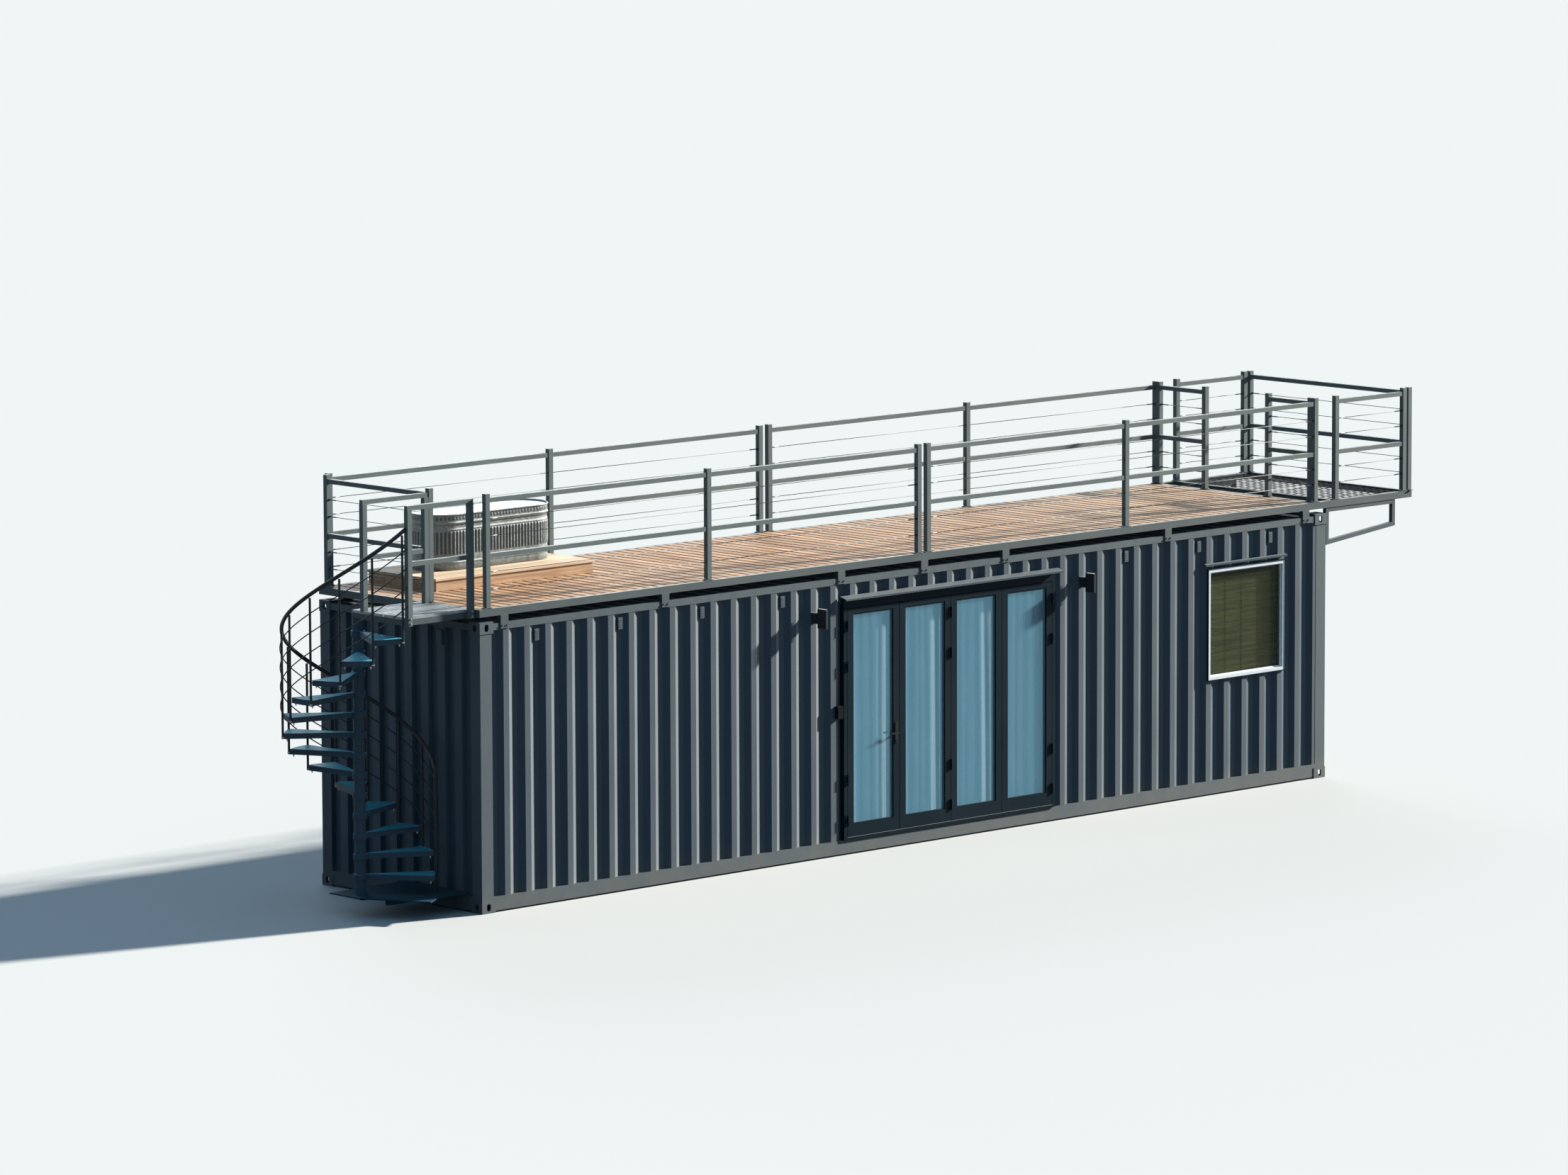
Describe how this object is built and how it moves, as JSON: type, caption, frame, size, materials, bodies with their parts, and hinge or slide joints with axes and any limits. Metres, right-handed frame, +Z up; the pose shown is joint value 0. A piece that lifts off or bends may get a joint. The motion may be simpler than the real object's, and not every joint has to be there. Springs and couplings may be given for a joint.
{
  "type": "shipping container cabin",
  "caption": "Corrugated steel container cabin with glazed folding doors, window, railed roof deck, tub, end platform and spiral stair.",
  "frame": {"origin": "outer corner of the bottom corner casting at the left end of the door side, on the ground", "axes": "+X along the long wall from the stair end to the platform end, +Y from the door side to the back, +Z up"},
  "size_m": [15.1721, 2.635, 4.16],
  "materials": {
    "corner_castings": "cast steel corner fittings, painted dark blue grey",
    "corner_posts": "folded steel posts, painted dark blue grey",
    "frame_rails": "rolled steel side and end rails, painted",
    "cross_members": "steel channels under the floor, dark underseal",
    "front_wall_left": "corrugated steel, satin dark navy paint",
    "front_wall_over_doors": "corrugated steel, satin dark navy paint",
    "front_wall_right": "corrugated steel, satin dark navy paint",
    "back_wall": "corrugated steel, satin dark navy paint",
    "end_walls": "corrugated steel, satin dark navy paint",
    "roof_panel": "corrugated steel roof",
    "floor": "plywood floor, clear varnish",
    "wall_lining": "plywood lining boards, pale wash",
    "ceiling": "plywood ceiling boards, pale wash",
    "door_frame": "dark bronze anodised frame",
    "entry_door": "dark bronze anodised leaf frame",
    "entry_door_glass": "clear double glass",
    "entry_door_handle": "lever handle and plate, black",
    "folding_leaves": "dark bronze anodised leaf frames",
    "folding_leaf_glass": "clear double glass",
    "door_hinges": "dark steel hinges",
    "door_curtains": "pale blue white woven curtains in long folds",
    "curtain_track": "white track",
    "window_casing": "dark steel casing",
    "window_frame": "pale blue white painted frame",
    "window_glass": "clear double glass",
    "window_blind": "woven split bamboo blind",
    "drip_caps": "folded sheet metal, grey",
    "wall_lamps": "slim metal box lamps",
    "wall_vents": "small pressed vents",
    "key_box": "black box with a cover",
    "deck_standoffs": "welded steel brackets",
    "deck_frame": "steel tube beams, grey paint",
    "deck_joists": "steel tube joists",
    "deck_boards": "oiled softwood boards",
    "front_railing": "square steel tube and steel cable, grey",
    "back_railing": "square steel tube and steel cable, grey",
    "end_railings": "square steel tube and steel cable, grey",
    "platform_frame": "steel tube beams, grey paint",
    "platform_net": "black knotted cord net",
    "platform_brackets": "welded steel tube brackets",
    "platform_railings": "square steel tube and steel cable",
    "landing_frame": "steel tube frame",
    "landing_planks": "ribbed grey walkway planks",
    "landing_railings": "square steel tube",
    "stair_foot": "steel plate and tubes, dark paint",
    "stair_column": "round steel tube, dark paint",
    "stair_treads": "folded steel pans, dark paint",
    "stair_balusters": "round steel bar, dark paint",
    "stair_handrail": "bent round steel tube, dark paint",
    "stair_rods": "bent steel rod, dark paint",
    "tub_plinth": "sawn softwood timbers and boards",
    "tub": "galvanised sheet steel"
  },
  "bodies": {
    "cabin": {"corner_castings": "corner_castings", "corner_posts": "corner_posts", "frame_rails": "frame_rails", "cross_members": "cross_members", "front_wall_left": "front_wall_left", "front_wall_over_doors": "front_wall_over_doors", "front_wall_right": "front_wall_right", "back_wall": "back_wall", "end_walls": "end_walls", "roof_panel": "roof_panel", "floor": "floor", "wall_lining": "wall_lining", "ceiling": "ceiling", "door_frame": "door_frame", "folding_leaves": "folding_leaves", "folding_leaf_glass": "folding_leaf_glass", "door_hinges": "door_hinges", "door_curtains": "door_curtains", "curtain_track": "curtain_track", "window_casing": "window_casing", "window_frame": "window_frame", "window_glass": "window_glass", "window_blind": "window_blind", "drip_caps": "drip_caps", "wall_lamps": "wall_lamps", "wall_vents": "wall_vents", "key_box": "key_box", "deck_standoffs": "deck_standoffs", "deck_frame": "deck_frame", "deck_joists": "deck_joists", "deck_boards": "deck_boards", "front_railing": "front_railing", "back_railing": "back_railing", "end_railings": "end_railings", "platform_frame": "platform_frame", "platform_net": "platform_net", "platform_brackets": "platform_brackets", "platform_railings": "platform_railings", "landing_frame": "landing_frame", "landing_planks": "landing_planks", "landing_railings": "landing_railings", "stair_foot": "stair_foot", "stair_column": "stair_column", "stair_treads": "stair_treads", "stair_balusters": "stair_balusters", "stair_handrail": "stair_handrail", "stair_rods": "stair_rods", "tub_plinth": "tub_plinth", "tub": "tub"},
    "entry_leaf": {"entry_door": "entry_door", "entry_door_glass": "entry_door_glass", "entry_door_handle": "entry_door_handle"}
  },
  "joints": [
    {"name": "entry_door_swing", "type": "hinge", "parent": "cabin", "child": "entry_leaf", "pos_m": [4.973, -0.024, 0], "axis": [0, 0, -1], "range_deg": [0, 90]}
  ]
}
